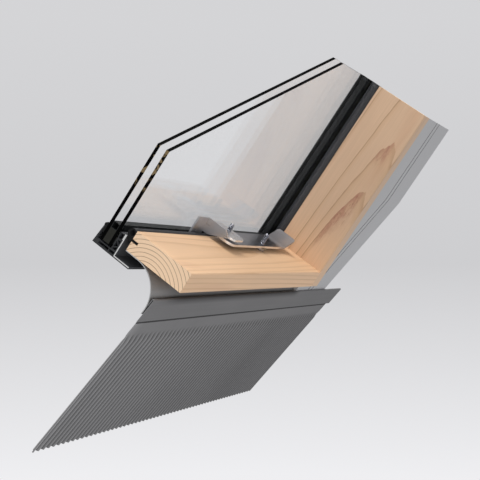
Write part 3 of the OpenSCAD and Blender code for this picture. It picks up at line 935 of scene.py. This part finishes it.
class SKYLIGHT_OT_fasteners(bpy.types.Operator):
    """Domed rivets, screws and nails"""

    bl_idname = "skylight.fasteners"
    bl_label = "Fasteners"

    def execute(self, context):
        look = context.scene.skylight
        zinc = plated("fastener_zinc", look.stay.zinc, rough=0.34, grain=800)
        dress(["corner_screws", "flashing_nails", "bracket_rivets"], zinc)
        dress(["cover_rivets"], coated_profile("rivet_coat", look.sash, look.sash.coat))
        return {"FINISHED"}


class SKYLIGHT_OT_stage(bpy.types.Operator):
    """Floor, backdrop, soft lamps and the camera"""

    bl_idname = "skylight.stage"
    bl_label = "Stage"

    def execute(self, context):
        scene = context.scene
        stage = scene.skylight.stage
        low, high = (Vector(corner) for corner in cad_box)
        middle = (low + high) / 2
        self.camera(scene, stage)
        self.backdrop(scene, stage)
        self.floor(scene, stage, Vector((middle.x, middle.y, low.z)))
        self.lamp(scene, middle, "key", place=(0.59, 2.45, 1.59), size=1.54, power=62.7,
                  colour=(1.0, 0.985, 0.96))
        self.lamp(scene, middle, "room_fill", place=(1.75, 0.35, -1.15), size=1.6, power=10,
                  colour=(0.97, 0.985, 1.0))
        self.lamp(scene, middle, "front_fill", place=(0.59, -2.66, 1.45), size=2.24, power=39.2)
        self.lamp(scene, middle, "side_fill", place=(-2.7, 0.42, 0.96), size=1.96, power=17.6,
                  mirrored=False)
        scene.view_settings.view_transform = "Standard"
        return {"FINISHED"}

    def lamp(self, scene, aim, name, place, size, power, colour=(1.0, 1.0, 1.0), mirrored=True):
        """Soft round lamp that points at the object; metal and glass show it if it is mirrored."""
        data = bpy.data.lights.new(name, "AREA")
        data.shape = "DISK"
        data.size = size
        data.energy = power
        data.color = colour
        lamp = bpy.data.objects.new(name, data)
        lamp.location = place
        lamp.visible_glossy = mirrored
        lamp.rotation_euler = (aim - lamp.location).to_track_quat("-Z", "Y").to_euler()
        scene.collection.objects.link(lamp)

    def camera(self, scene, stage):
        """Camera at the photograph's viewing angle."""
        data = bpy.data.cameras.new("camera")
        data.lens = stage.lens
        data.sensor_width = 36
        data.clip_start = 0.01
        camera = bpy.data.objects.new("camera", data)
        place, aim = Vector(stage.camera), Vector(stage.aim)
        turn = (aim - place).to_track_quat("-Z", "Y").to_matrix().to_4x4()
        camera.matrix_world = Matrix.Translation(place) @ turn @ Matrix.Rotation(stage.roll, 4, "Z")
        scene.collection.objects.link(camera)
        scene.camera = camera

    def backdrop(self, scene, stage):
        """Pale backdrop that shows directly and in glass and metal, and even light from all round."""
        world = bpy.data.worlds.new("studio")
        world.use_nodes = True
        scene.world = world
        g = Graph(world.node_tree)
        up = scene.camera.matrix_world.to_3x3() @ Vector((0, 1, 0))
        sight = g.node("ShaderNodeTexCoord").outputs["Generated"]
        height = Value(g, g.node("ShaderNodeVectorMath", {"operation": "DOT_PRODUCT"},
                                 {0: sight, 1: up}).outputs["Value"])
        shown = g.ramp(height * stage.spread + 0.5, [
            (0.02, stage.back_low), (0.45, stage.back_middle), (0.95, stage.back_top)])
        ray = g.node("ShaderNodeLightPath").outputs
        seen = Value(g, ray["Is Camera Ray"]) | Value(g, ray["Is Glossy Ray"])
        seen = seen | Value(g, ray["Is Transmission Ray"])
        picture = g.node("ShaderNodeBackground", {}, {"Color": shown}).outputs[0]
        light = g.node("ShaderNodeBackground", {}, {
            "Color": (1, 1, 1), "Strength": stage.ambient}).outputs[0]
        g.node("ShaderNodeOutputWorld", {}, {"Surface": g.blend(seen, light, picture)})

    def floor(self, scene, stage, middle):
        """Round floor just under the object."""
        shape = bmesh.new()
        bmesh.ops.create_circle(shape, cap_ends=True, segments=64, radius=stage.reach)
        bmesh.ops.translate(shape, verts=shape.verts, vec=middle - Vector((0, 0, FLOOR_GAP)))
        mesh = bpy.data.meshes.new("floor")
        shape.to_mesh(mesh)
        shape.free()
        mesh.materials.append(floor_paint("floor_paint", stage.floor, middle, stage.reach))
        floor = bpy.data.objects.new("floor", mesh)
        scene.collection.objects.link(floor)


class SKYLIGHT_PT_panel(bpy.types.Panel):
    """Lists the makers of the skylight corner"""

    bl_idname = "SKYLIGHT_PT_panel"
    bl_label = "Skylight corner"
    bl_space_type = "VIEW_3D"
    bl_region_type = "UI"
    bl_category = "Skylight"

    def draw(self, context):
        column = self.layout.column()
        for maker in MAKERS:
            column.operator(maker.bl_idname)


LOOKS = (TimberLook, GlassLook, SashLook, SheetLook, PleatSizes, StayLook, StageLook, SkylightLook)
MAKERS = (SKYLIGHT_OT_stage, SKYLIGHT_OT_timber, SKYLIGHT_OT_glazing, SKYLIGHT_OT_sash,
          SKYLIGHT_OT_flashing, SKYLIGHT_OT_apron, SKYLIGHT_OT_stay, SKYLIGHT_OT_studs,
          SKYLIGHT_OT_fasteners)


def register():
    for item in (*LOOKS, *MAKERS, SKYLIGHT_PT_panel):
        bpy.utils.register_class(item)
    bpy.types.Scene.skylight = PointerProperty(type=SkylightLook)


def unregister():
    del bpy.types.Scene.skylight
    for item in reversed((*LOOKS, *MAKERS, SKYLIGHT_PT_panel)):
        bpy.utils.unregister_class(item)


def main():
    register()
    bpy.ops.skylight.stage()
    bpy.ops.skylight.timber()
    bpy.ops.skylight.glazing()
    bpy.ops.skylight.sash()
    bpy.ops.skylight.flashing()
    bpy.ops.skylight.apron()
    bpy.ops.skylight.stay()
    bpy.ops.skylight.studs()
    bpy.ops.skylight.fasteners()


if __name__ == "__main__":
    main()
